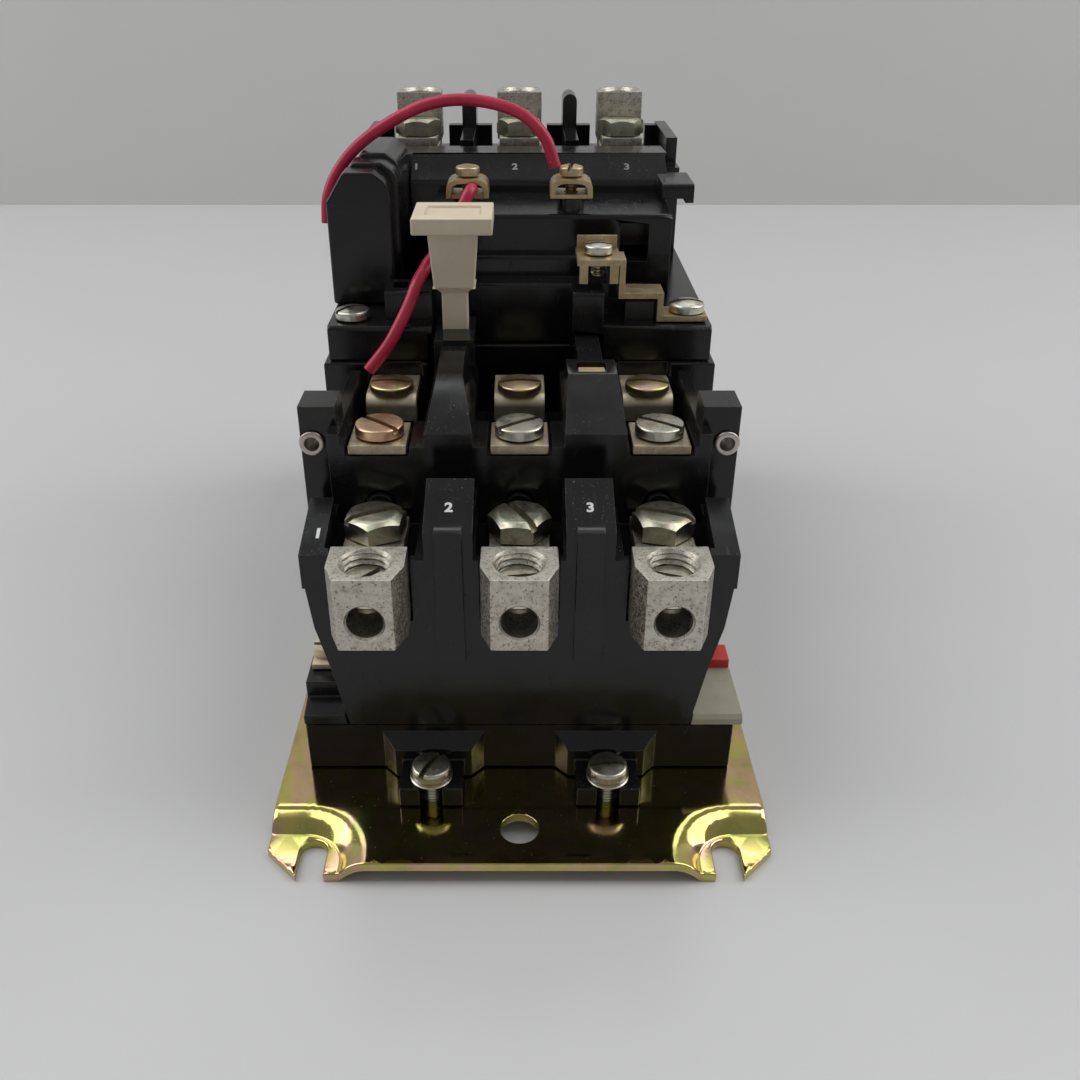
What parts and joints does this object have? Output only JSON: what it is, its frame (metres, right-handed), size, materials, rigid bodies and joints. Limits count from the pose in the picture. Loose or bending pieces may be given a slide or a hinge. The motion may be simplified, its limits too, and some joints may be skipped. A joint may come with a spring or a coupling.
{
  "type": "magnetic motor starter",
  "caption": "Panel-mounted magnetic motor starter: contactor with box lugs, coil leads and an overload relay with reset plunger on one chromated steel plate.",
  "frame": {"origin": "centre of the mounting plate's back face", "axes": "+Z away from the panel, +Y towards the line end, -Y towards the load end with the relay, +X to the right seen from the load end"},
  "size_m": [0.1, 0.1906, 0.1265],
  "materials": {
    "brass": "dull tarnished brass",
    "chromate_steel": "yellow chromate over zinc, glossy and iridescent",
    "coil_winding": "varnished winding on a bobbin",
    "copper_tone": "copper flashed steel",
    "crimson_pvc": "crimson flexible wire insulation",
    "gold_chromate": "gold and iridescent chromate",
    "ivory_plastic": "ivory moulded plastic, satin",
    "laminated_iron": "stacked steel laminations",
    "nickel_silver": "warm nickel plate, lightly tarnished",
    "phenolic": "satin black moulded phenolic, fine dust and worn edges",
    "tinned_aluminium": "tin plated extrusion, mottled and speckled",
    "zinc_steel": "bright zinc with a faint green tint"
  },
  "bodies": {
    "frame": {"aux_contact_block": "phenolic", "box_lug_l1": "tinned_aluminium", "box_lug_l2": "tinned_aluminium", "box_lug_l3": "tinned_aluminium", "box_lug_t1": "tinned_aluminium", "box_lug_t2": "tinned_aluminium", "box_lug_t3": "tinned_aluminium", "clamp_screw_t1": "zinc_steel", "clamp_screw_t2": "zinc_steel", "clamp_screw_t3": "zinc_steel", "coil": "coil_winding", "coil_lead_down": "crimson_pvc", "coil_lead_loop": "crimson_pvc", "coil_screw_left": "brass", "coil_screw_right": "brass", "coil_terminal_left": "brass", "coil_terminal_right": "brass", "contactor_base": "phenolic", "cover_screw_left": "zinc_steel", "cover_screw_right": "zinc_steel", "heater_plate_t1": "nickel_silver", "heater_plate_t2": "nickel_silver", "heater_plate_t3": "nickel_silver", "heater_screw_front_t1": "copper_tone", "heater_screw_front_t2": "zinc_steel", "heater_screw_front_t3": "zinc_steel", "heater_screw_rear_t1": "gold_chromate", "heater_screw_rear_t2": "gold_chromate", "heater_screw_rear_t3": "gold_chromate", "jumper_screw": "zinc_steel", "jumper_strap": "brass", "line_bolt_l1": "zinc_steel", "line_bolt_l2": "zinc_steel", "line_bolt_l3": "zinc_steel", "line_housing": "phenolic", "line_strap_l1": "nickel_silver", "line_strap_l2": "nickel_silver", "line_strap_l3": "nickel_silver", "load_strap_t1": "nickel_silver", "load_strap_t2": "nickel_silver", "load_strap_t3": "nickel_silver", "lug_bolt_t1": "zinc_steel", "lug_bolt_t2": "zinc_steel", "lug_bolt_t3": "zinc_steel", "magnet_core": "laminated_iron", "mounting_plate": "chromate_steel", "nc_contact_block": "phenolic", "nc_terminal": "nickel_silver", "overload_base": "phenolic", "overload_housing": "phenolic", "overload_screw_left": "zinc_steel", "overload_screw_right": "zinc_steel", "return_spring": "zinc_steel", "rivet_left": "zinc_steel", "rivet_right": "zinc_steel"},
    "contact_carrier_body": {"contact_carrier": "phenolic", "armature": "laminated_iron"},
    "reset_plunger_body": {"reset_plunger": "ivory_plastic"},
    "trip_flag_body": {"trip_flag": "brass"},
    "test_button_body": {"test_button": "ivory_plastic"}
  },
  "joints": [
    {"name": "contact_slide", "type": "slide", "parent": "frame", "child": "contact_carrier_body", "axis": [0, 0, -1], "range_m": [0, 0.004], "deforming": ["return_spring"]},
    {"name": "reset_push", "type": "slide", "parent": "frame", "child": "reset_plunger_body", "axis": [0, 0, -1], "range_m": [0, 0.004]},
    {"name": "flag_slide", "type": "slide", "parent": "frame", "child": "trip_flag_body", "axis": [0, 1, 0], "range_m": [0, 0.0016]},
    {"name": "test_push", "type": "slide", "parent": "frame", "child": "test_button_body", "axis": [0, 1, 0], "range_m": [0, 0.0025]}
  ],
  "couplings": [
    {"joint": "flag_slide", "follows": "reset_push", "ratio": 0.4}
  ]
}
